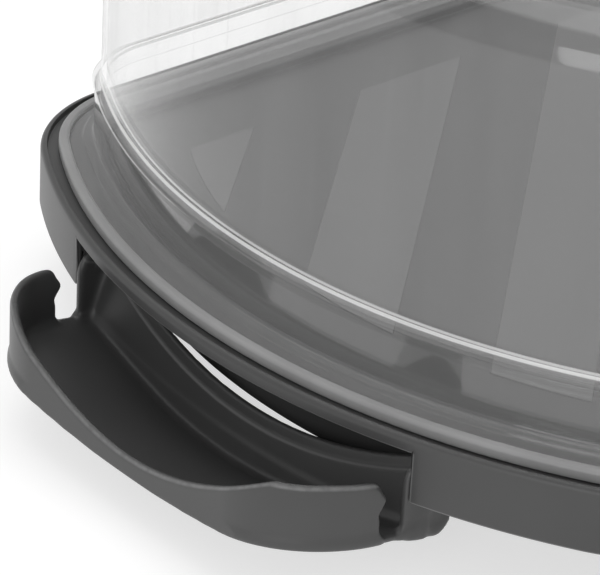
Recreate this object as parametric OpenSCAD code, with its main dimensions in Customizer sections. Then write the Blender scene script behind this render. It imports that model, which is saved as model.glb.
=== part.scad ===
/* [Tray] */
// Length of the tray over the crowns of its two bowed ends
tray_l = 425; // [415:1:460]
// Width of the tray over its straight sides
tray_w = 295; // [290:1:300]
// Radius of the bowed ends
end_r = 237.6; // [232:0.2:242]
// Radius of the four corners
corner_r = 49.4; // [44:0.2:54]
// Height of the rim above the surface that the tray stands on
rim_z = 50; // [50:0.5:60]
// Depth of the skirt below the rim
skirt_h = 20.7; // [19.5:0.1:22]
// Depth of the foot ring below the rim
ring_h = 32.5; // [26:0.5:34]
// Wall thickness of the tray
wall = 2.2; // [1.8:0.1:2.4]
// Pitch of the diagonal bands on the floor
band_pitch = 30.3; // [20:0.1:40]
// Angle of the bands to the long axis
band_angle = 41; // [30:1:60]
// Height of a raised band above the floor
band_h = 0.2; // [0.2:0.1:0.8]

/* [Lid] */
// Height of the lid's top above the rim
lid_top = 128; // [100:1:160]
// Wall thickness of the lid
lid_wall = 1.8; // [1.4:0.1:2.2]
// Height of the ledge above the rim
ledge_z = 23.4; // [20:0.1:26]
// Radius of the shoulder between wall and top
shoulder_r = 16; // [10:1:22]

/* [Clips] */
// Depth of a clip's outer wall crest below the rim, at the middle
crest_mid = 28; // [26:0.5:30]
// Depth of a clip's outer wall crest below the rim, at its shoulders
crest_end = 8.4; // [8.4:0.1:12]
// Reach of an open clip beyond the crown of the tray's end
clip_reach = 28.9; // [27:0.1:31]
// Wall thickness of a clip
clip_wall = 2.6; // [2.2:0.1:2.8]
// Radius of the hinge pegs
peg_r = 2.9; // [2.5:0.1:3.2]
// Radial clearance of a peg in its bearing
peg_gap = 0.06; // [0.03:0.01:0.1]

/* [Hidden] */
$fn = 64;
// Depth by which joined shapes reach into each other, and which cutters stand clear of a face
lap = 1;

// Centre of an end's bow, measured from the tray's centre towards that end
bow_x = tray_l / 2 - end_r;
// Corner centre, measured from the bow's centre
corner_y = tray_w / 2 - corner_r;
corner_x = sqrt(pow(end_r - corner_r, 2) - pow(corner_y, 2));
corner_a = atan2(corner_y, corner_x);
// Steps of an outline round a corner and along a bow
corner_n = 9;
bow_n = 16;

// Offsets of the tray's and the lid's outlines, from the rim's outer face
groove_in = -9.5;
seat_in = -19;
ring_out = -26.6;
bead_out = -5.75;
bead_in = -8.9;
step_out = -13.6;
band_out = -16.9;
ledge_out = -15.9;
main_out = -18.8;

// Heights from the rim
lip_z = -4.4;
groove_z = -2;
groove_under = -3.6;
seat_z = 0.9;
floor_z = -2;
flange_z = 1.2;
flange_top = 3.2;
bead_low = -1.6;
bead_top = 2.2;
// Height at which the lid's wall steps in on its inside
inner_step = 18;
// One step of the rounding on the rim's and the bead's edges
edge_step = 0.4;
// Steps of the lid's shoulder
shoulder_n = 5;

// Edge of a raised band, measured across the bands from the tray's centre
band_start = 25.4;
band_n = 4;

// Feet
foot_x = 128;
foot_y = 92;
leg_top_r = 16;
leg_r = 13;
pad_r = 11.5;
pad_h = 3;
pad_proud = 1.6;

// Cutout in the skirt for a clip: half its width, and its reach on both sides of the bow's crown
cut_y = 76.6;
cut_reach = 20;

// Clip, measured from the bow's centre and from the rim
peg_u = 216.7;
peg_z = -13.3;
cheek_out = 76.2;
cheek_in = cheek_out - clip_wall;
cheek_r = 6;
peg_end = 81.2;
bearing_in = 77.1;
bearing_out = 81.4;
bearing_wall = 2.6;
bearing_y = (bearing_in + bearing_out) / 2;
hook_u = 225.3;
slot_w = 8.9;
nose_u = hook_u + slot_w + 1;
nose_z = -17.2;
nose_r = 2.9;
hinge_u = 208;
clip_corner = 32;
outer_u = end_r + clip_reach;
dip_y = 60;
dip_power = 1.15;
// Half width and depth of shapes that take in a whole clip
clip_half_w = 90;
clip_deep = 60;
curve_step = 5;
// Scoop of an open clip: foot of its inner wall, the slope of its floor and the radius of its bow
foot_u = 225.6;
scoop_z = -44.4;
scoop_slope = 20.5;
scoop_bow = 172;
// Inner wall, square to the scoop's floor: its height at the middle and the radius of its top edge
tuck_mid = 17.6;
tuck_bow = 147;
// Flatter floor round the scoop, given in the same way, and its steeper slope towards the hinge
rest_z = -39.2;
rest_slope = 10;
rest_bow = 343;
heel_slope = 16;

// One end of an outline at offset d, as points from its -y side to its +y side
function end_pts(d) = concat(
    [for (i = [0 : corner_n]) let (t = -90 + (90 - corner_a) * i / corner_n)
        [bow_x + corner_x + (corner_r + d) * cos(t), -corner_y + (corner_r + d) * sin(t)]],
    [for (i = [1 : bow_n - 1]) let (t = -corner_a + 2 * corner_a * i / bow_n)
        [bow_x + (end_r + d) * cos(t), (end_r + d) * sin(t)]],
    [for (i = [0 : corner_n]) let (t = corner_a + (90 - corner_a) * i / corner_n)
        [bow_x + corner_x + (corner_r + d) * cos(t), corner_y + (corner_r + d) * sin(t)]]);
// The whole outline at offset d
function outline(d) = concat(end_pts(d), [for (p = end_pts(d)) -p]);

module slab(d, z0, z1) {
    translate([0, 0, rim_z + z0])
        linear_extrude(z1 - z0)
            polygon(outline(d));
}

module ring(d_out, d_in, z0, z1) {
    difference() {
        slab(d_out, z0, z1);
        slab(d_in, z0 - lap, z1 + lap);
    }
}

// Both ends of the tray: children are drawn with u along +x from the bow's centre, z from the rim
module at_end(side) {
    rotate([0, 0, side > 0 ? 0 : 180])
        translate([bow_x, 0, rim_z])
            children();
}

module at_feet() {
    for (sx = [-1, 1])
        for (sy = [-1, 1])
            translate([sx * foot_x, sy * foot_y, 0])
                children();
}

// Raised diagonal bands of the tray's floor, every second one
module bands() {
    intersection() {
        slab(seat_in - wall - lap, floor_z - lap, floor_z + band_h);
        translate([0, 0, rim_z + floor_z - lap])
            rotate([0, 0, band_angle])
                for (i = [-band_n : band_n])
                    translate([-tray_l, 2 * i * band_pitch + band_start, 0])
                        cube([2 * tray_l, band_pitch, lap + band_h]);
    }
}

// Bearing plates for a clip's two pegs, behind the skirt
module bearings() {
    boss_r = peg_r + bearing_wall;
    for (s = [-1, 1])
        translate([0, s * bearing_y, 0])
            rotate([90, 0, 0])
                linear_extrude(bearing_out - bearing_in, center = true)
                    union() {
                        translate([peg_u, peg_z])
                            circle(r = boss_r);
                        translate([peg_u - boss_r, peg_z])
                            square([2 * boss_r, groove_under - peg_z + lap]);
                    }
}

module bearing_bores() {
    for (s = [-1, 1])
        translate([peg_u, s * bearing_y, peg_z])
            rotate([90, 0, 0])
                cylinder(r = peg_r + peg_gap, h = bearing_out - bearing_in + 2 * lap, center = true);
}

module base_tray() color("dimgray") {
    difference() {
        union() {
            // Skirt and the rounded edge of the rim
            ring(0, -wall, -skirt_h, -2 * edge_step);
            ring(-edge_step, edge_step - wall, -3 * edge_step, -edge_step);
            ring(-2 * edge_step, 2 * edge_step - wall, -2 * edge_step, 0);
            // Groove for the lid's bead, the lid's seat and the floor
            ring(-lap, groove_in - lap, groove_under, groove_z);
            ring(groove_in, groove_in - wall, groove_under, seat_z);
            ring(groove_in - lap, seat_in - wall, seat_z - wall, seat_z);
            ring(seat_in, seat_in - wall, floor_z - wall, seat_z - lap);
            slab(seat_in - lap, floor_z - wall, floor_z);
            bands();
            // Foot ring
            ring(ring_out, ring_out - wall, -ring_h, floor_z - lap);
            at_feet()
                translate([0, 0, pad_proud])
                    cylinder(r1 = leg_r, r2 = leg_top_r, h = rim_z + floor_z - lap - pad_proud);
            for (side = [-1, 1])
                at_end(side)
                    bearings();
        }
        // Clip cutouts in the skirt
        for (side = [-1, 1])
            at_end(side)
                translate([end_r - cut_reach, -cut_y, -skirt_h - lap])
                    cube([2 * cut_reach, 2 * cut_y, skirt_h + lap + lip_z]);
        for (side = [-1, 1])
            at_end(side)
                bearing_bores();
        // Pockets for the foot pads
        at_feet()
            translate([0, 0, pad_proud - lap])
                cylinder(r = pad_r, h = pad_h - pad_proud + lap);
        // Cored legs
        at_feet()
            translate([0, 0, pad_h + wall])
                cylinder(r1 = leg_r - wall, r2 = leg_top_r - wall, h = rim_z + floor_z - 2 * wall - pad_h);
    }
}

module foot_pad(sx, sy) color("black") {
    translate([sx * foot_x, sy * foot_y, 0])
        union() {
            cylinder(r1 = pad_r - lap, r2 = pad_r, h = lap);
            translate([0, 0, lap])
                cylinder(r = pad_r, h = pad_h - lap);
        }
}

module lid() color("lightgray", 0.5) {
    union() {
        // Bead with a rounded top
        ring(bead_out, bead_in, bead_low, bead_top - 3 * edge_step);
        ring(bead_out - edge_step, bead_in, bead_top - 4 * edge_step, bead_top - edge_step);
        ring(bead_out - 2 * edge_step, bead_in + 2 * edge_step, bead_top - 2 * edge_step, bead_top);
        // Flange, lower band, ledge and main wall
        ring(bead_in + lap, band_out - lid_wall, flange_z, flange_z + lap);
        ring(step_out, band_out - lid_wall, flange_z + lap / 2, flange_top);
        ring(band_out, band_out - lid_wall, flange_z, ledge_z);
        ring(band_out, main_out - lid_wall, inner_step, ledge_z);
        ring(ledge_out, main_out - lid_wall, ledge_z - lid_wall, ledge_z);
        ring(main_out, main_out - lid_wall, ledge_z - lid_wall, lid_top - shoulder_r);
        // The shoulder, as rings on a quarter circle
        for (i = [0 : shoulder_n - 1]) {
            a0 = 90 * i / shoulder_n;
            a1 = 90 * (i + 1) / shoulder_n;
            ring(main_out - shoulder_r * (1 - cos((a0 + a1) / 2)),
                 main_out - shoulder_r * (1 - cos(a1)) - 2 * lid_wall,
                 lid_top - shoulder_r + shoulder_r * sin(a0) - lid_wall,
                 lid_top - shoulder_r + shoulder_r * sin(a1));
        }
        slab(main_out - shoulder_r + lap / 2, lid_top - lid_wall, lid_top);
    }
}

// Plan of an open clip: half its outline, from the hinge edge to the outer wall, inset by d
function clip_half(d) = concat(
    [[hinge_u, 0], [hinge_u, cheek_out]],
    [for (a = [90 : -10 : 0])
        [outer_u - clip_corner + (clip_corner - d) * cos(a), cheek_out - clip_corner + (clip_corner - d) * sin(a)]]);
function clip_plan(d) = let (half = clip_half(d))
    concat(half, [for (i = [len(half) - 1 : -1 : 1]) [half[i][0], -half[i][1]]]);

module clip_slab(d, more = 0) {
    translate([0, 0, -clip_deep - more])
        linear_extrude(clip_deep + 2 * more)
            polygon(clip_plan(d));
}

// Children are drawn from the scoop's foot, x down the slope's rise and z square to it
module at_foot(z, slope) {
    translate([foot_u, 0, z])
        rotate([0, -slope, 0])
            children();
}

// Everything above a bowed floor that is lowered by t
module above_bowl(t, z, slope, bow) {
    at_foot(z - t, slope)
        rotate([90, 0, 90])
            translate([0, 0, -clip_deep])
                linear_extrude(3 * clip_deep)
                    polygon(concat(
                        [for (v = [-clip_half_w : curve_step : clip_half_w]) [v, v * v / (2 * bow)]],
                        [[clip_half_w, 2 * clip_deep], [-clip_half_w, 2 * clip_deep]]));
}

module above_rest(t) {
    above_bowl(t, rest_z, rest_slope, rest_bow);
    above_bowl(t, rest_z, heel_slope, rest_bow);
}

module above_floor(t) {
    above_bowl(t, scoop_z, scoop_slope, scoop_bow);
    above_rest(t);
}

// Everything on the outer side of the inner wall's face, moved t towards the hinge
module beyond_wall(t) {
    at_foot(scoop_z, scoop_slope)
        translate([-t, -clip_half_w, -clip_deep])
            cube([2 * clip_deep, 2 * clip_half_w, 3 * clip_deep]);
}

// Crest of the outer wall over v: a finger dip between two level shoulders
function crest(v) = -crest_end - (crest_mid - crest_end) * pow(max(0, 1 - pow(v / dip_y, 2)), dip_power);

// Floor: the scoop before the inner wall, and the flatter floor behind it
module clip_floor() {
    difference() {
        intersection() {
            clip_slab(0);
            above_floor(clip_wall);
            beyond_wall(clip_wall);
        }
        above_floor(0);
    }
    difference() {
        intersection() {
            clip_slab(0);
            above_rest(clip_wall);
        }
        above_rest(0);
        beyond_wall(clip_wall / 2);
    }
}

// Outer wall with its two ends, which stop at the slots, and a snap nose on each
module clip_outer_wall() {
    difference() {
        intersection() {
            difference() {
                clip_slab(0);
                clip_slab(clip_wall, lap);
            }
            above_floor(clip_wall / 2);
            translate([hook_u + slot_w, -clip_half_w, -clip_deep])
                cube([clip_deep, 2 * clip_half_w, clip_deep]);
        }
        rotate([90, 0, 90])
            linear_extrude(2 * outer_u)
                polygon(concat(
                    [for (v = [-clip_half_w : curve_step : clip_half_w]) [v, crest(v)]],
                    [[clip_half_w, clip_deep], [-clip_half_w, clip_deep]]));
    }
    for (s = [-1, 1])
        translate([nose_u, s * (cheek_in + cheek_out) / 2, nose_z])
            rotate([90, 0, 0])
                cylinder(r = nose_r, h = clip_wall, center = true);
}

// Inner wall, square to the scoop's floor, with a bowed top edge
module clip_inner_wall() {
    intersection() {
        at_foot(scoop_z, scoop_slope)
            rotate([90, 0, 90])
                translate([0, 0, -clip_wall])
                    linear_extrude(clip_wall)
                        polygon(concat(
                            [for (v = [-cheek_out : cheek_out / 20 : cheek_out]) [v, tuck_mid + v * v / (2 * tuck_bow)]],
                            [[cheek_out, -clip_deep], [-cheek_out, -clip_deep]]));
        above_floor(clip_wall / 2);
    }
}

// Cheek and peg at each end of the hinge edge
module clip_cheeks() {
    for (s = [-1, 1]) {
        intersection() {
            translate([0, s * (cheek_in + cheek_out) / 2, 0])
                rotate([90, 0, 0])
                    linear_extrude(clip_wall, center = true)
                        union() {
                            translate([peg_u, peg_z])
                                circle(r = cheek_r);
                            polygon([[hinge_u, -clip_deep], [hook_u, -clip_deep], [hook_u, peg_z],
                                     [peg_u - cheek_r, peg_z], [hinge_u, peg_z - 2 * cheek_r]]);
                        }
            above_rest(clip_wall / 2);
        }
        translate([peg_u, s * cheek_in, peg_z])
            rotate([-90 * s, 0, 0])
                cylinder(r = peg_r, h = peg_end - cheek_in);
    }
}

module clip_body() {
    union() {
        clip_floor();
        clip_outer_wall();
        clip_inner_wall();
        clip_cheeks();
    }
}

module clip_handle_left() color("dimgray") {
    at_end(-1)
        clip_body();
}
module clip_handle_right() color("dimgray") {
    at_end(1)
        clip_body();
}
module foot_pad_front_left() foot_pad(-1, -1);
module foot_pad_front_right() foot_pad(1, -1);
module foot_pad_back_left() foot_pad(-1, 1);
module foot_pad_back_right() foot_pad(1, 1);

base_tray();
lid();
clip_handle_left();
clip_handle_right();
foot_pad_front_left();
foot_pad_front_right();
foot_pad_back_left();
foot_pad_back_right();
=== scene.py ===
import math

import bmesh
import bpy
import numpy as np
from mathutils import Matrix, Vector


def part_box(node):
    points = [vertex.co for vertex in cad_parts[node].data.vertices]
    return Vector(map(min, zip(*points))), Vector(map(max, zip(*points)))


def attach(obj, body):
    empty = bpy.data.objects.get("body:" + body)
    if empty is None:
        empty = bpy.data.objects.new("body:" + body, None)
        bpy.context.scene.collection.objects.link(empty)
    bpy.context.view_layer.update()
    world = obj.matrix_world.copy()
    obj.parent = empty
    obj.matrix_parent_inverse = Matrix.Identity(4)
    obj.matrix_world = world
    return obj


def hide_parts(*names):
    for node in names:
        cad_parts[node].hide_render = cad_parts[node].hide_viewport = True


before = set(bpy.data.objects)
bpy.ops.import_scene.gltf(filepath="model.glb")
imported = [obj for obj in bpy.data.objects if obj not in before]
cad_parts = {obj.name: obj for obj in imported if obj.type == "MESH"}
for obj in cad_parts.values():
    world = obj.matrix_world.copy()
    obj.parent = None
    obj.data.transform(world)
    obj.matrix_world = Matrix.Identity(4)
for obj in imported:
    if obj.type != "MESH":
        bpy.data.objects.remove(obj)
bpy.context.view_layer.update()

# View and light of the photograph
# A long lens looks down on one bowed end of the carrier, from above its front left, and a large
# soft light stands over a pale table.
mm = 0.001
photo_width = 600
focal_px = 3528.24
eye = Vector((-0.7882, -0.6719, 0.5687))
look = Vector((0.5868, 0.6437, -0.4914))
above = Vector((0.2885, 0.4009, 0.8695))
camera_data = bpy.data.cameras.new("photo_camera")
camera_data.sensor_width = 36.0
camera_data.lens = focal_px * camera_data.sensor_width / photo_width
camera_data.clip_start = 0.05
camera_data.clip_end = 20
camera = bpy.data.objects.new("photo_camera", camera_data)
turned_view = Matrix((look.cross(above), above, -look)).transposed().to_4x4()
camera.matrix_world = Matrix.Translation(eye) @ turned_view
bpy.context.scene.collection.objects.link(camera)
bpy.context.scene.camera = camera
bpy.context.scene.view_settings.view_transform = "Standard"
bpy.context.scene.cycles.transparent_max_bounces = 32


def soft_light(name, place, target, width, power):
    """A square area light at place that faces target."""
    data = bpy.data.lights.new(name, "AREA")
    data.size = width
    data.energy = power
    light = bpy.data.objects.new(name, data)
    light.location = place
    light.rotation_mode = "QUATERNION"
    light.rotation_quaternion = (Vector(place) - Vector(target)).to_track_quat("Z", "Y")
    bpy.context.scene.collection.objects.link(light)


soft_light("overhead_light", place=(0.1, 0.3, 1.6), target=(0, 0, 0.05), width=1.6, power=10)
soft_light("front_light", place=(-1.9, -0.9, 0.7), target=(-0.2, 0, 0.05), width=1.2, power=9)

world_light = 0.7
world = bpy.data.worlds.new("studio")
world.use_nodes = True
world.node_tree.nodes["Background"].inputs["Color"].default_value = (1, 1, 1, 1)
world.node_tree.nodes["Background"].inputs["Strength"].default_value = world_light
bpy.context.scene.world = world

floor_reach = 6.0
floor_tone = 0.45
floor_glow = 0.62
floor_mesh = bpy.data.meshes.new("studio_floor")
floor_mesh.from_pydata(
    [(-floor_reach, -floor_reach, 0), (floor_reach, -floor_reach, 0),
     (floor_reach, floor_reach, 0), (-floor_reach, floor_reach, 0)],
    [], [(0, 1, 2, 3)])
studio_floor = bpy.data.objects.new("studio_floor", floor_mesh)
bpy.context.scene.collection.objects.link(studio_floor)
floor_paint = bpy.data.materials.new("pale_floor")
floor_paint.use_nodes = True
floor_shader = floor_paint.node_tree.nodes["Principled BSDF"]
floor_shader.inputs["Base Color"].default_value = (floor_tone, floor_tone, floor_tone, 1)
floor_shader.inputs["Roughness"].default_value = 0.9
floor_shader.inputs["Emission Color"].default_value = (1, 1, 1, 1)
floor_shader.inputs["Emission Strength"].default_value = floor_glow
floor_mesh.materials.append(floor_paint)


# Base tray
# One moulding of dark polypropylene: a shallow floor with raised diagonal bands, a groove for the
# lid's bead behind the rim, and a skirt that is cut away at each end for a clip. Four stub legs
# and the bearings of the clips' pegs are moulded with it.
class Shade:
    """A value or colour in a material's tree. Arithmetic on it adds Math nodes, and node() any other."""

    def __init__(self, tree, socket=None):
        self.tree = tree
        self.socket = socket

    def node(self, kind, settings=None, inputs=None, output=0):
        made = self.tree.nodes.new("ShaderNode" + kind)
        for name, value in (settings or {}).items():
            setattr(made, name, value)
        for key, value in (inputs or {}).items():
            if isinstance(value, Shade):
                self.tree.links.new(value.socket, made.inputs[key])
            else:
                made.inputs[key].default_value = value
        return Shade(self.tree, made.outputs[output])

    def math(self, operation, *others):
        return self.node("Math", {"operation": operation}, dict(enumerate((self,) + others)))

    def __add__(self, other):
        return self.math("ADD", other)

    def __sub__(self, other):
        return self.math("SUBTRACT", other)

    def __rsub__(self, other):
        return self * -1 + other

    def __mul__(self, other):
        return self.math("MULTIPLY", other)

    def __truediv__(self, other):
        return self.math("DIVIDE", other)

    __radd__ = __add__
    __rmul__ = __mul__

    def axis(self, letter):
        """One coordinate of this place."""
        return self.node("SeparateXYZ", None, {0: self}, letter)

    def step(self, low, high):
        """0 at low, 1 at high and beyond, smooth in between."""
        return self.node("MapRange", {"interpolation_type": "SMOOTHSTEP"},
                         {"Value": self, "From Min": low, "From Max": high})

    def mix(self, first, second):
        """From the first colour to the second as this value goes from 0 to 1."""
        return self.node("Mix", {"data_type": "RGBA"}, {0: self, 6: first, 7: second}, 2)


def grey(value):
    return (value, value, value, 1)


def new_material(name):
    """A Principled material, its shader node, and the place on the object that its patterns follow."""
    material = bpy.data.materials.new(name)
    material.use_nodes = True
    tree = material.node_tree
    shader = tree.nodes["Principled BSDF"]
    place = Shade(tree).node("TexCoord", output="Object")
    return material, shader, place


def connect(value, shader, socket):
    value.tree.links.new(value.socket, shader.inputs[socket])


def noise(place, scale, detail=2.0, roughness=0.5):
    return place.node("TexNoise", None,
                      {"Vector": place, "Scale": scale, "Detail": detail, "Roughness": roughness})


def moulded(name, tone, spread, rough, grain_depth):
    """Satin moulded plastic: a slightly cloudy tone, fine grain and soft flow marks. Gives its place too."""
    material, shader, place = new_material(name)
    cloud = noise(place, 22, 3)
    grain = noise(place, 2600, 2)
    waves = noise(place, 60, 2)
    wave_depth = 0.02 * mm
    connect(cloud.step(0.3, 0.7).mix(grey(tone - spread), grey(tone + spread)), shader, "Base Color")
    connect(cloud * 0.12 + grain * 0.1 + (rough - 0.11), shader, "Roughness")
    height = grain * grain_depth + waves * wave_depth
    bump = place.node("Bump", None, {"Strength": 1.0, "Distance": 1.0, "Height": height})
    connect(bump, shader, "Normal")
    shader.inputs["IOR"].default_value = 1.49
    return material, place


def paint_edge_highlight(material, mask, tone):
    """Paints a highlight into the plastic's colour where the mask is 1, standing in for an edge that catches
    the light.
    """
    tree = material.node_tree
    shader = tree.nodes["Principled BSDF"]
    plain = Shade(tree, shader.inputs["Base Color"].links[0].from_socket)
    connect(mask.mix(plain, grey(tone)), shader, "Base Color")


tray_satin, tray_place = moulded("tray_satin", tone=0.05, spread=0.003, rough=0.42, grain_depth=0.008 * mm)
tray_band = moulded("tray_band", tone=0.1, spread=0.004, rough=0.5, grain_depth=0.012 * mm)[0]

tray_low, tray_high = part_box("base_tray")
seat_z = 0.9 * mm
rim_z = tray_high.z - seat_z
tray_l = tray_high.x - tray_low.x
tray_w = tray_high.y - tray_low.y
end_r = 237.6 * mm
corner_r = 49.4 * mm
wall = 2.2 * mm
skirt_h = 20.7 * mm
lip_z = -4.4 * mm
cut_y = 76.6 * mm
bow_x = tray_l / 2 - end_r
corner_y = tray_w / 2 - corner_r
corner_x = math.sqrt((end_r - corner_r) ** 2 - corner_y ** 2)
corner_a = math.atan2(corner_y, corner_x)


def on_circle(cx, cy, radius, angle):
    """A point of a circle with its outward direction: x, y, nx, ny."""
    nx, ny = math.cos(angle), math.sin(angle)
    return cx + radius * nx, cy + radius * ny, nx, ny


def arc(cx, cy, radius, start, stop, steps):
    return [on_circle(cx, cy, radius, a) for a in np.linspace(start, stop, steps + 1)]


def half_outline(cut_steps=40, edge_steps=5, flank_steps=10, corner_steps=26):
    """The rim's outer face round the +X end, from the front corner to the back one, and its skirt's state.

    The state is how much of the skirt stays, and how far its faces are drawn in as its end rounds off."""
    edge_r = 0.9 * mm
    flank_gap = 3 * mm
    cut_a = math.asin(cut_y / end_r)
    ends = []
    for a in np.linspace(0, math.pi / 2, edge_steps + 1):
        past = edge_r * (1 - math.cos(a))
        inset = edge_r - math.sqrt(max(0, edge_r ** 2 - (edge_r - past) ** 2))
        ends.append((on_circle(bow_x, 0, end_r, cut_a + past / end_r), (1, inset)))
    flank = arc(bow_x, 0, end_r, cut_a + flank_gap / end_r, corner_a, flank_steps)[:-1]
    corner = arc(bow_x + corner_x, corner_y, corner_r, corner_a, math.pi / 2, corner_steps)
    side = ends + [(p, (1, 0)) for p in flank + corner]
    mirrored = [((p[0], -p[1], p[2], -p[3]), state) for p, state in reversed(side)]
    front = [(p, (0, 0)) for p in arc(bow_x, 0, end_r, -cut_a, cut_a, cut_steps)]
    return mirrored + front + side


def outline(side_steps=30):
    """The whole rim, anticlockwise from above."""
    half = half_outline()
    x_end = half[-1][0][0]
    along = np.linspace(x_end, -x_end, side_steps + 1)[1:-1]
    first = half + [((x, tray_w / 2, 0.0, 1.0), (1, 0)) for x in along]
    return first + [((-p[0], -p[1], -p[2], -p[3]), state) for p, state in first]


def rounded(corners, steps=5):
    """An open run of (offset, height, radius) corners in millimetres, each turned into an arc."""
    made = []
    for i, (x, z, radius) in enumerate(corners):
        point = np.array((x, z))
        if radius == 0 or i in (0, len(corners) - 1):
            made.append(point)
            continue
        before = np.array(corners[i - 1][:2]) - point
        after = np.array(corners[i + 1][:2]) - point
        before, after = before / np.linalg.norm(before), after / np.linalg.norm(after)
        half = math.acos(max(-1, min(1, before @ after))) / 2
        centre = point + (before + after) / np.linalg.norm(before + after) * radius / math.sin(half)
        start, stop = point + before * radius / math.tan(half), point + after * radius / math.tan(half)
        sweep = math.pi - 2 * half
        for k in range(steps + 1):
            t = k / steps
            ray = (math.sin((1 - t) * sweep) * (start - centre) + math.sin(t * sweep) * (stop - centre))
            made.append(centre + ray / math.sin(sweep))
    return [(p[0] * mm, p[1] * mm) for p in made]


def sweep_rings(bm, path, profile_at, second_from=1.0):
    """Faces between rings of one profile carried round a closed path. Gives the rings of vertices.

    Faces further out than second_from take the second material."""
    rings = []
    for (x, y, nx, ny), state in path:
        rings.append([bm.verts.new((x + d * nx, y + d * ny, rim_z + z)) for d, z in profile_at(*state)])
    offsets = [d for d, z in profile_at(*path[0][1])]
    count = len(rings)
    for i in range(count):
        here, there = rings[i], rings[(i + 1) % count]
        for k in range(len(here) - 1):
            face = bm.faces.new((here[k], here[k + 1], there[k + 1], there[k]))
            face.material_index = int(offsets[k] + offsets[k + 1] > 2 * second_from)
    return rings


def lathe(bm, centre, axis, corners, steps=48):
    """A closed turned piece: (radius, height) corners spun round an axis through centre, poles closed."""
    side = Vector((1, 0, 0)) if abs(axis[0]) < 0.5 else Vector((0, 1, 0))
    other = Vector(axis).cross(side)
    rings = []
    for radius, height in corners:
        middle = Vector(centre) + Vector(axis) * height
        if radius == 0:
            rings.append([bm.verts.new(middle)])
        else:
            rings.append([bm.verts.new(middle + (side * math.cos(a) + other * math.sin(a)) * radius)
                          for a in np.linspace(0, 2 * math.pi, steps, endpoint=False)])
    for low, high in zip(rings, rings[1:] + rings[:1]):
        if len(low) == 1 and len(high) == 1:
            continue
        for i in range(steps):
            j = (i + 1) % steps
            corners_of = [low[i % len(low)], low[j % len(low)], high[j % len(high)], high[i % len(high)]]
            bm.faces.new(list(dict.fromkeys(corners_of)))


def finished(name, bm, materials, sharp_deg=38):
    """A mesh object from the bmesh, merged, facing outwards and smooth except at sharp edges."""
    bmesh.ops.remove_doubles(bm, verts=bm.verts, dist=0.001 * mm)
    bmesh.ops.dissolve_degenerate(bm, edges=bm.edges, dist=0.0005 * mm)
    bmesh.ops.recalc_face_normals(bm, faces=bm.faces)
    mesh = bpy.data.meshes.new(name)
    bm.to_mesh(mesh)
    bm.free()
    for material in materials:
        mesh.materials.append(material)
    mesh.shade_smooth()
    mesh.set_sharp_from_angle(angle=math.radians(sharp_deg))
    made = bpy.data.objects.new(name, mesh)
    bpy.context.scene.collection.objects.link(made)
    return made


# Offsets inwards from the rim's outer face and heights above the rim, in millimetres
band_margin, margin_strip = -48, 1.5
floor_top, floor_under = -2, -4.2
seat_in, seat_out, seat_foot = -21.2, -9.5, 1.4
hollow_top = -1.3
rim_under, skirt_step = -3.6, 0.1
ring_out, ring_in, ring_low = -26.6, -28.8, -32.5


def tray_profile(skirt, inset):
    """From the floor over the seat, the groove and the rim, round the skirt and back under the floor."""
    low = (-skirt_h if skirt else lip_z) / mm
    draw = inset / mm
    thick, seat_top = wall / mm, seat_z / mm
    outer, inner = -draw, draw - thick
    over_floor = [
        (band_margin, floor_top, 0), (band_margin + margin_strip, floor_top, 0),
        (seat_in - seat_foot, floor_top, 0),
        (seat_in, floor_top, 0.5), (seat_in, seat_top, 0.8), (seat_out, seat_top, 0.5),
        (seat_out, floor_top, 0.4), (-thick, floor_top, 0.4), (-thick, 0, 0.3), (0, 0, 1.8)]
    round_skirt = [
        (0, rim_under, 0), (outer, rim_under - skirt_step, 0), (outer, low + draw, 0.5),
        (inner, low + draw, 0.5), (inner, rim_under - skirt_step, 0),
        (-thick, rim_under - skirt_step / 2, 0), (-thick, rim_under, 0)]
    hollow_out, hollow_in = seat_out - thick, seat_in + thick
    under_seat = [
        (hollow_out, rim_under, 0.4), (hollow_out, hollow_top, 0.4), (hollow_in, hollow_top, 0.6),
        (hollow_in, floor_under, 0.6)]
    foot_ring = [
        (ring_out, floor_under, 1), (ring_out, ring_low, 0.7), (ring_in, ring_low, 0.7),
        (ring_in, floor_under, 1), (ring_in - thick, floor_under, 0)]
    return rounded(over_floor + round_skirt + under_seat + foot_ring)


tray_bm = bmesh.new()
tray_rings = sweep_rings(tray_bm, outline(), tray_profile)
floor_face = tray_bm.faces.new([ring[0] for ring in tray_rings])
tray_bm.faces.new([ring[-1] for ring in reversed(tray_rings)])

# The bands are parts of the floor between slanting lines, every second one raised
band_pitch = 30.3 * mm
band_start = 25.4 * mm
band_h = 0.2 * mm
band_bevel = 0.6 * band_h
band_angle = math.radians(41)
lines_each_way = 8
across = Vector((-math.sin(band_angle), math.cos(band_angle), 0))
floor_parts = [floor_face]
for k in range(-lines_each_way, lines_each_way + 1):
    cut = bmesh.ops.bisect_plane(
        tray_bm, geom=floor_parts + list({e for f in floor_parts for e in f.edges})
        + list({v for f in floor_parts for v in f.verts}),
        plane_co=across * (band_start + k * band_pitch), plane_no=across)
    floor_parts = list(dict.fromkeys([g for g in cut["geom"] if isinstance(g, bmesh.types.BMFace)]))
raised = [f for f in floor_parts
          if math.floor((f.calc_center_median().dot(across) - band_start) / band_pitch) % 2 == 0]
bmesh.ops.recalc_face_normals(tray_bm, faces=tray_bm.faces)
bmesh.ops.inset_region(tray_bm, faces=raised, thickness=band_bevel, depth=band_h, use_even_offset=True)
for face in raised:
    face.material_index = 1

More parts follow.
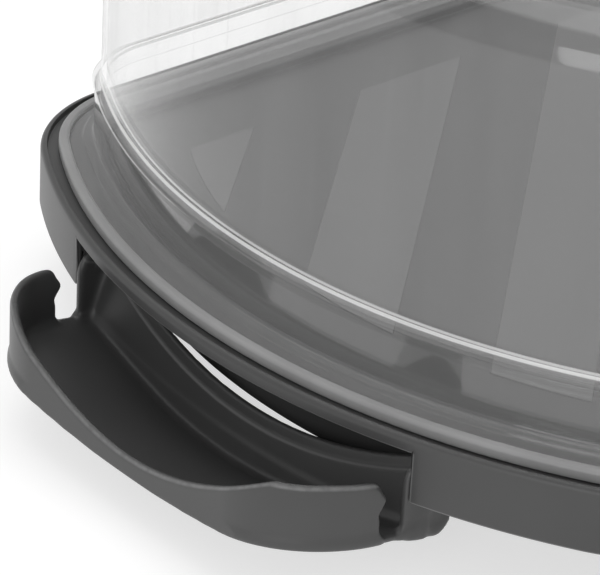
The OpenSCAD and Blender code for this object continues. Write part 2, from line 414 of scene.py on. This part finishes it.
# Stub legs, each recessed for its pad, and a bearing on a web for each peg of the clips
foot_x, foot_y = 128 * mm, 92 * mm
leg_top = rim_z - 4 * mm
leg_section = [(0, 3 * mm), (11.5 * mm, 3 * mm), (11.5 * mm, 1.6 * mm), (13 * mm, 1.6 * mm),
               (15.8 * mm, leg_top - 1 * mm), (17.5 * mm, leg_top), (0, leg_top)]
peg_r, peg_gap = 2.9 * mm, 0.06 * mm
peg_u, peg_z = 216.7 * mm, -13.3 * mm
bearing_in, bearing_out = 77.1 * mm, 81.4 * mm
bearing_wall = 2.6 * mm
bearing_width = bearing_out - bearing_in
bore_r = peg_r + peg_gap
bearing_section = [(bore_r, 0), (bore_r + bearing_wall, 0), (bore_r + bearing_wall, bearing_width),
                   (bore_r, bearing_width)]
web_low, web_high = rim_z + peg_z + 3.4 * mm, rim_z - 3.2 * mm
web_size = (2 * (bore_r + 2.4 * mm), bearing_width, web_high - web_low)
for sx in (-1, 1):
    for sy in (-1, 1):
        lathe(tray_bm, (sx * foot_x, sy * foot_y, 0), (0, 0, 1), leg_section)
        peg = (sx * (bow_x + peg_u), sy * bearing_in, rim_z + peg_z)
        lathe(tray_bm, peg, (0, sy, 0), bearing_section)
        web = bmesh.ops.create_cube(tray_bm, size=1)["verts"]
        bmesh.ops.scale(tray_bm, verts=web, vec=web_size)
        bmesh.ops.translate(tray_bm, verts=web,
                            vec=(peg[0], sy * (bearing_in + bearing_width / 2), (web_low + web_high) / 2))

# Painted highlights on the skirt's lower edge, the lip over the cutout and the cut ends, where these edges
# catch the light
from_cut = tray_place.axis("Y").math("ABSOLUTE") - cut_y
up = tray_place.axis("Z") - rim_z
skirt_edge = (up + (skirt_h - 0.2 * mm)).math("ABSOLUTE").step(0.5 * mm, 0.2 * mm)
lip_edge = (up - (lip_z + 0.2 * mm)).math("ABSOLUTE").step(0.4 * mm, 0.1 * mm)
lip_edge = lip_edge * from_cut.step(0.4 * mm, -0.2 * mm)
cut_edge = (from_cut - 0.3 * mm).math("ABSOLUTE").step(0.7 * mm, 0.2 * mm) * up.step(-3.9 * mm, -4.6 * mm)
paint_edge_highlight(tray_satin, (skirt_edge + lip_edge + cut_edge).math("MINIMUM", 1.0), 0.14)
tray = finished("tray_body", tray_bm, [tray_satin, tray_band])
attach(tray, "base")
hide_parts("base_tray")


# Foot pads
# Four turned discs of soft black rubber with two grip rings, pressed into the stub legs. They are
# one turned shape, set on the four places of the legs.
def geometry_node(tree, kind, inputs=None):
    """A node of a Geometry Nodes tree, with the values or links of its sockets."""
    made = tree.nodes.new(kind)
    for key, value in (inputs or {}).items():
        if isinstance(value, bpy.types.NodeSocket):
            tree.links.new(value, made.inputs[key])
        else:
            made.inputs[key].default_value = value
    return made


pad_rubber, pad_shader, pad_place = new_material("pad_rubber")
connect(noise(pad_place, 300, 3).step(0.3, 0.7).mix(grey(0.018), grey(0.03)), pad_shader, "Base Color")
connect(noise(pad_place, 900) * 0.2 + 0.65, pad_shader, "Roughness")
pad_bump = pad_place.node("Bump", None, {"Distance": 0.02 * mm, "Height": noise(pad_place, 1800)})
connect(pad_bump, pad_shader, "Normal")

pad_tree = bpy.data.node_groups.new("pads_on_legs", "GeometryNodeTree")
pad_inputs = {}
for name, kind in (("Profile", "NodeSocketGeometry"), ("Spacing X", "NodeSocketFloat"),
                   ("Spacing Y", "NodeSocketFloat"), ("Steps", "NodeSocketInt"),
                   ("Rubber", "NodeSocketMaterial")):
    pad_inputs[name] = pad_tree.interface.new_socket(name, in_out="INPUT", socket_type=kind).identifier
pad_tree.interface.new_socket("Pads", in_out="OUTPUT", socket_type="NodeSocketGeometry")
turn_r = 1.0 * mm
group_in = geometry_node(pad_tree, "NodeGroupInput").outputs
group_out = geometry_node(pad_tree, "NodeGroupOutput")
places = geometry_node(pad_tree, "GeometryNodeMeshGrid",
                       {"Size X": group_in["Spacing X"], "Size Y": group_in["Spacing Y"],
                        "Vertices X": 2, "Vertices Y": 2})
profile_line = geometry_node(pad_tree, "GeometryNodeMeshToCurve", {"Mesh": group_in["Profile"]})
spin_circle = geometry_node(pad_tree, "GeometryNodeCurvePrimitiveCircle",
                            {"Resolution": group_in["Steps"], "Radius": turn_r})
turned = geometry_node(pad_tree, "GeometryNodeCurveToMesh",
                       {"Curve": spin_circle.outputs["Curve"],
                        "Profile Curve": profile_line.outputs["Curve"]})
merged = geometry_node(pad_tree, "GeometryNodeMergeByDistance",
                       {"Geometry": turned.outputs["Mesh"], "Distance": 0.005 * mm})
on_legs = geometry_node(pad_tree, "GeometryNodeInstanceOnPoints",
                        {"Points": places.outputs["Mesh"], "Instance": merged.outputs["Geometry"]})
real = geometry_node(pad_tree, "GeometryNodeRealizeInstances", {"Geometry": on_legs.outputs["Instances"]})
painted = geometry_node(pad_tree, "GeometryNodeSetMaterial",
                        {"Geometry": real.outputs["Geometry"], "Material": group_in["Rubber"]})
pad_tree.links.new(painted.outputs["Geometry"], group_out.inputs["Pads"])

# Radius and height of the pad's half section in millimetres. The turning circle adds its own radius,
# and it turns a profile's y downwards.
pad_section = [(0, 0.35), (6, 0.35), (6.2, 0), (7.4, 0), (7.6, 0.35), (9, 0.35), (9.2, 0), (10.5, 0),
               (11.1, 0.3), (11.4, 1), (11.4, 2.9), (0, 2.9)]
section_mesh = bpy.data.meshes.new("pad_section")
section_mesh.from_pydata([(r * mm - turn_r, -h * mm, 0) for r, h in pad_section],
                         [(i, i + 1) for i in range(len(pad_section) - 1)], [])
pad_source = bpy.data.objects.new("pad_source", section_mesh)
bpy.context.scene.collection.objects.link(pad_source)
pad_modifier = pad_source.modifiers.new("pads", "NODES")
pad_modifier.node_group = pad_tree
pad_modifier[pad_inputs["Spacing X"]] = 2 * foot_x
pad_modifier[pad_inputs["Spacing Y"]] = 2 * foot_y
pad_modifier[pad_inputs["Steps"]] = 72
pad_modifier[pad_inputs["Rubber"]] = pad_rubber
graph = bpy.context.evaluated_depsgraph_get()
pad_mesh = bpy.data.meshes.new_from_object(pad_source.evaluated_get(graph))
bpy.data.objects.remove(pad_source)
pad_bm = bmesh.new()
pad_bm.from_mesh(pad_mesh)
pads = finished("foot_pads", pad_bm, [pad_rubber])
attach(pads, "base")
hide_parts("foot_pad_front_left", "foot_pad_front_right", "foot_pad_back_left", "foot_pad_back_right")


# Lid
# A deep cover of clear plastic, moulded in one: a bead that drops into the tray's groove, a flange,
# a low band, a ledge and the tall wall. It is a little hazy and shows fine upright drawing marks.
lid_wall = 1.8
lid_top, top_corner, top_edge = 128, 16, -38
low_out, main_out, ledge_out = -16.9, -18.8, -15.9
ledge_top = 23.4
bead_end = (-7.3, -1.6, 0)
round_steps = 6
lid_outer = rounded([
    bead_end, (-5.75, -1.6, 0.5), (-5.75, 2.4, 1.4), (-8.7, 2.4, 0.9), (-9, 1.75, 0.2), (-9.4, 2.05, 0.2),
    (-13.2, 2.1, 0.6), (-13.8, 3.2, 0.5), (low_out, 3.2, 1.4), (low_out, 21.4, 0.5), (ledge_out, 21.9, 0.4),
    (ledge_out, ledge_top, 0.7), (main_out, ledge_top, 0.9), (main_out, lid_top, top_corner),
    (top_edge, lid_top, 0)], round_steps)
lid_inner = rounded([
    (top_edge, lid_top - lid_wall, 0), (main_out - lid_wall, lid_top - lid_wall, top_corner - lid_wall),
    (main_out - lid_wall, 18.6, 0.8), (low_out - lid_wall, 17.4, 0.5), (low_out - lid_wall, 1.2, 0.6),
    (-8.9, 1.2, 0.3), (-8.9, -1.6, 0.4), bead_end], round_steps)


def streak_noise(place, scale):
    """Noise drawn out along the upright wall."""
    drawn = place.node("Mapping", None, {"Vector": place, "Scale": (1, 1, 0.03)})
    return noise(drawn, scale, 2)


clear_plastic, clear_shader, clear_place = new_material("clear_plastic")
lid_up = clear_place.axis("Z") - rim_z
low_band = lid_up.step(23.6 * mm, 22.8 * mm)
broad_streaks = streak_noise(clear_place, 60).step(0.35, 0.75)
fine_streaks = streak_noise(clear_place, 420).step(0.55, 0.8)
haze = broad_streaks * 0.03 + fine_streaks * 0.05
edge_on = clear_place.node("LayerWeight", None, {"Blend": 0.5}, "Facing")
# Towards a grazing view the plastic turns greyer and less clear: partly its longer path through the haze,
# partly painted shade for the dark surroundings seen through its edges
haze = (haze + 0.05) * (1 - low_band) + low_band * 0.03 + edge_on.math("POWER", 6.0) * 0.5
# Painted highlight on the ledge: a band round it is pale and less clear, standing in for the light that its
# top reflects
ledge = lid_up.step(23.3 * mm, 23.6 * mm) * lid_up.step(24.7 * mm, 24.2 * mm)
connect(ledge.mix(grey(0.32), grey(0.85)), clear_shader, "Base Color")
clear_shader.inputs["Roughness"].default_value = 0.3
connect(haze + ledge * 0.6, clear_shader, "Alpha")
# The plastic's gloss: a mirror whose share grows towards a grazing view
share = edge_on.math("POWER", 5.0) * 0.96 + 0.04
gloss = clear_place.node("BsdfPrincipled", None, {"Base Color": grey(1), "Metallic": 1.0, "Roughness": 0.06})
cloudy = Shade(clear_place.tree, clear_shader.outputs[0])
both = clear_place.node("MixShader", None, {0: share, 1: cloudy, 2: gloss})
connect(both, clear_place.tree.nodes["Material Output"], "Surface")

# The bead is thicker, and milky
bead_from = -9.2 * mm
bead_plastic, bead_shader, bead_place = new_material("bead_plastic")
connect(noise(bead_place, 30, 2).step(0.3, 0.7).mix(grey(0.3), grey(0.36)), bead_shader, "Base Color")
connect(noise(bead_place, 300) * 0.1 + 0.3, bead_shader, "Roughness")
bead_shader.inputs["Alpha"].default_value = 0.75
lid_bm = bmesh.new()
rings_out = sweep_rings(lid_bm, outline(), lambda skirt, inset: lid_outer, bead_from)
rings_in = sweep_rings(lid_bm, outline(), lambda skirt, inset: lid_inner, bead_from)
lid_bm.faces.new([ring[-1] for ring in rings_out])
lid_bm.faces.new([ring[0] for ring in reversed(rings_in)])
lid = finished("lid_body", lid_bm, [clear_plastic, bead_plastic])
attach(lid, "cover")
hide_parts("lid")


# Clip handles
# Two scoops of dark polypropylene, one at each end, that turn on moulded pegs behind the skirt and
# snap up over the rim. Each has a floor, an outer wall with a finger dip, two slotted end walls and
# a low inner wall that hooks under the rim.
outer_u = 266.5
hook_u = 225.3
slot_u = 234.2
hinge_u = 208
clip_wall = 2.6
half_wall = clip_wall / 2
cheek_out = 76.2
cheek_top = -9
clip_corner = 32
peg_mid, peg_reach = 77, 4.2
cheek_cut, cheek_cut_z, cheek_cut_run = 2.7, -28, 8
# Floor: the lowest line of the scoop and of its rest, their slopes outwards, and radii of their bow across
foot_u = 225.6
scoop_z, scoop_bow = -44.4, 172
rest_z, rest_bow = -39.2, 343
heel_u, heel_curve = 213.5, 7
lean = math.radians(20.5)
rest_rise = math.radians(10)
heel_rise = math.radians(16)
# Outer wall's crest: its height, the finger dip and the drop towards the slots, and the nose beside a slot
crest_z = -8.4
dip_y, dip_depth, dip_power = 60, 19.6, 1.15
drop_u, drop_run, drop_depth, drop_most, drop_power = 252, 16, 2.2, 1.2, 1.5
nose_z, nose_depth, nose_spread = -17.2, 1.9, 2.4
notch_z, notch_depth, notch_spread = -21.5, 0.5, 1.6
# Inner wall's height at the middle and its bow across, and the strip under its top that is set back
tuck_mid, tuck_bow = 17.6, 147
strip_h, strip_depth = 4.6, 0.5
# Slanting surfaces are measured upright, and these make the measure nearly square to them
floor_steep, crest_steep = 0.95, 0.93


def soft_min(a, b, blend):
    mix = np.clip(0.5 + 0.5 * (b - a) / blend, 0, 1)
    return b + (a - b) * mix - blend * mix * (1 - mix)


def soft_max(a, b, blend):
    return -soft_min(-a, -b, blend)


def corner_distance(x, y):
    """Distance to the quarter plane x < 0, y < 0, negative inside."""
    return np.hypot(np.maximum(x, 0), np.maximum(y, 0)) + np.minimum(np.maximum(x, y), 0)


def sheet(distance):
    """A wall of the clip's thickness under a surface, from the distance to that surface."""
    return np.abs(distance + half_wall) - half_wall


def clip_shape(u, v, z):
    """Distance to the clip's skin in millimetres: u out from the bow's centre, v across, z from the rim."""
    side = np.abs(v)
    # Deep sloping scoop, which runs out into a flatter floor towards the outer wall and the hinge
    scoop = scoop_z + (u - foot_u) * math.tan(lean) + side ** 2 / (2 * scoop_bow * math.cos(lean))
    rest = rest_z + side ** 2 / (2 * rest_bow * math.cos(rest_rise))
    rest = rest + np.maximum(heel_u - u, 0) ** 2 / heel_curve
    rest = rest + soft_min((u - foot_u) * math.tan(rest_rise), (u - foot_u) * math.tan(heel_rise), blend=0.5)
    over_floor = (z - soft_min(scoop, rest, blend=3)) * floor_steep
    over_rest = (z - rest) * math.cos(rest_rise)
    # Place before the inner wall, which stands square to the scoop, and height up that wall
    before_wall = (u - foot_u) * math.cos(lean) + (z - scoop_z) * math.sin(lean)
    up_wall = (z - scoop_z) * math.cos(lean) - (u - foot_u) * math.sin(lean)
    plan = corner_distance(u - (outer_u - clip_corner), side - (cheek_out - clip_corner)) - clip_corner
    floor_plan = soft_max(plan, hinge_u - u, blend=1.5)
    front = soft_max(sheet(over_floor), -before_wall - half_wall, blend=0.5)
    heel = soft_max(sheet(over_rest), before_wall + half_wall, blend=0.5)
    body = soft_max(soft_min(front, heel, blend=1.0), floor_plan, blend=2.0)
    # Outer wall and its two ends, under the crest, with a snap nose on each end
    crest = crest_z - dip_depth * np.maximum(0, 1 - (side / dip_y) ** 2) ** dip_power
    crest = crest - drop_depth * np.clip((drop_u - u) / drop_run, 0, drop_most) ** drop_power
    nose = nose_depth * np.exp(-((z - nose_z) / nose_spread) ** 2)
    nose = nose - notch_depth * np.exp(-((z - notch_z) / notch_spread) ** 2)
    top = soft_max((z - crest) * crest_steep, slot_u - nose - u, blend=4.0)
    outer = soft_max(soft_max(sheet(plan), top, blend=1.6), -over_floor - half_wall, blend=1.0)
    body = soft_min(body, outer, blend=2.6)
    # Inner wall, whose upper strip is set back a little
    tuck = tuck_mid + side ** 2 / (2 * tuck_bow)
    strip = strip_depth * np.clip((up_wall - tuck + strip_h) / strip_depth, 0, 1)
    inner = np.maximum(before_wall + strip, -before_wall - clip_wall)
    inner = soft_max(inner, up_wall - tuck, blend=1.0)
    inner = soft_max(inner, side - cheek_out, blend=1.0)
    inner = soft_max(inner, -over_floor - half_wall, blend=1.0)
    body = soft_min(body, inner, blend=4.0)
    # Cheeks with their pegs
    hinge_end = hinge_u + cheek_cut * np.clip((z - cheek_cut_z) / cheek_cut_run, 0, 1)
    profile = soft_max(soft_max(u - hook_u, z - cheek_top, blend=8), hinge_end - u, blend=4)
    cheek = soft_max(sheet(side - cheek_out), profile, blend=1.4)
    cheek = soft_max(cheek, -over_rest - half_wall, blend=1.0)
    body = soft_min(body, cheek, blend=3.0)
    peg = np.hypot(u - peg_u / mm, z - peg_z / mm) - peg_r / mm
    peg = soft_max(peg, np.abs(side - peg_mid) - peg_reach, blend=0.8)
    return np.minimum(body, peg)


def skin(shape, low, high, step):
    """Mesh of the surface where shape is zero: a point in each cell that it crosses, then pulled onto it."""
    axes = [np.arange(a, b + step, step) for a, b in zip(low, high)]
    grid = np.meshgrid(*axes, indexing="ij")
    value = shape(*grid)
    cells = tuple(n - 1 for n in value.shape)
    total, count = np.zeros(cells + (3,)), np.zeros(cells)
    for axis in range(3):
        others = [a for a in range(3) if a != axis]
        for shift in ((0, 0), (0, 1), (1, 0), (1, 1)):
            start, stop = [slice(None)] * 3, [slice(None)] * 3
            start[axis], stop[axis] = slice(0, -1), slice(1, None)
            for a, s in zip(others, shift):
                start[a] = stop[a] = slice(s, value.shape[a] - 1 + s)
            start, stop = tuple(start), tuple(stop)
            first, second = value[start], value[stop]
            crossed = (first < 0) != (second < 0)
            share = np.where(crossed, first / np.where(crossed, first - second, 1), 0)
            for a in range(3):
                along = grid[a][start] + (share * step if a == axis else 0)
                total[..., a] += np.where(crossed, along, 0)
            count += crossed
    used = count > 0
    number = np.full(cells, -1)
    number[used] = np.arange(used.sum())
    points = total[used] / count[used][:, None]
    nudge, least_slope, pulls = 0.05, 0.05, 3
    for _ in range(pulls):
        here = shape(*points.T)
        ahead_behind = [(shape(*(points + nudge * e).T), shape(*(points - nudge * e).T)) for e in np.eye(3)]
        slope = np.stack([(ahead - behind) / (2 * nudge) for ahead, behind in ahead_behind], 1)
        points -= (here / np.maximum((slope ** 2).sum(1), least_slope))[:, None] * slope
    faces = []
    for axis in range(3):
        b, c = [a for a in range(3) if a != axis]
        start, stop = [slice(1, -1)] * 3, [slice(1, -1)] * 3
        start[axis], stop[axis] = slice(0, -1), slice(1, None)
        first, second = value[tuple(start)], value[tuple(stop)]
        crossed = np.argwhere((first < 0) != (second < 0))
        inward = first[tuple(crossed.T)] < 0
        base = crossed + np.array([0 if a == axis else 1 for a in range(3)])
        quad = []
        for db, dc in ((-1, -1), (0, -1), (0, 0), (-1, 0)):
            cell = base.copy()
            cell[:, b] += db
            cell[:, c] += dc
            quad.append(number[tuple(cell.T)])
        quad = np.stack(quad, 1)
        flip = inward if axis != 1 else ~inward
        faces.append(np.where(flip[:, None], quad, quad[:, ::-1]))
    return points, np.concatenate(faces)


# The clips' plastic, with a ragged painted highlight along the crest and a faint painted highlight on the
# ridge where the strip is set back
clip_satin, clip_place = moulded("clip_satin", tone=0.05, spread=0.003, rough=0.4, grain_depth=0.008 * mm)
flat_u = clip_place.axis("X").math("ABSOLUTE") / mm - bow_x / mm
flat_v = clip_place.axis("Y").math("ABSOLUTE") / mm
flat_z = (clip_place.axis("Z") - rim_z) / mm
dip = (1 - (flat_v / dip_y) * (flat_v / dip_y)).math("MAXIMUM", 0.0)
drop = ((drop_u - flat_u) / drop_run).math("MAXIMUM", 0.0).math("MINIMUM", drop_most)
drop = drop.math("POWER", drop_power)
crest_line = dip.math("POWER", dip_power) * -dip_depth - drop * drop_depth + crest_z
under_crest = crest_line - flat_z
corner_u = (flat_u - (outer_u - clip_corner)).math("MAXIMUM", 0.0)
corner_v = (flat_v - (cheek_out - clip_corner)).math("MAXIMUM", 0.0)
plan_in = (corner_u * corner_u + corner_v * corner_v).math("SQRT") - clip_corner
# Painted highlights: a ragged one along the crest's edge, and a faint one on the ridge under the inner
# wall's top
ragged = noise(clip_place, 500, 3) * 0.8 + 0.2
crest_highlight = under_crest.step(1.5, 0.6) * plan_in.step(-1.1, -0.3) * ragged
from_strip = (flat_z - scoop_z) * math.cos(lean) - (flat_u - foot_u) * math.sin(lean)
from_strip = from_strip - flat_v * flat_v / (2 * tuck_bow) - (tuck_mid - strip_h)
strip_highlight = from_strip.math("ABSOLUTE").step(0.6, 0.1) * flat_u.step(229, 227) * 0.35
paint_edge_highlight(clip_satin, crest_highlight + strip_highlight, 0.2)

clip_low, clip_high = (206, -88, -51), (270, 88, -4)
clip_step = 0.85
clip_points, clip_faces = skin(clip_shape, clip_low, clip_high, clip_step)
for name, body, node, turn in (("clip_left_body", "clip_left", "clip_handle_left", -1),
                               ("clip_right_body", "clip_right", "clip_handle_right", 1)):
    clip_bm = bmesh.new()
    clip_verts = [clip_bm.verts.new((turn * (bow_x + min(u, outer_u) * mm), -turn * v * mm, rim_z + z * mm))
                  for u, v, z in clip_points]
    for face in clip_faces:
        clip_bm.faces.new([clip_verts[i] for i in face])
    clip = finished(name, clip_bm, [clip_satin], 80)
    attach(clip, body)
    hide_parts(node)
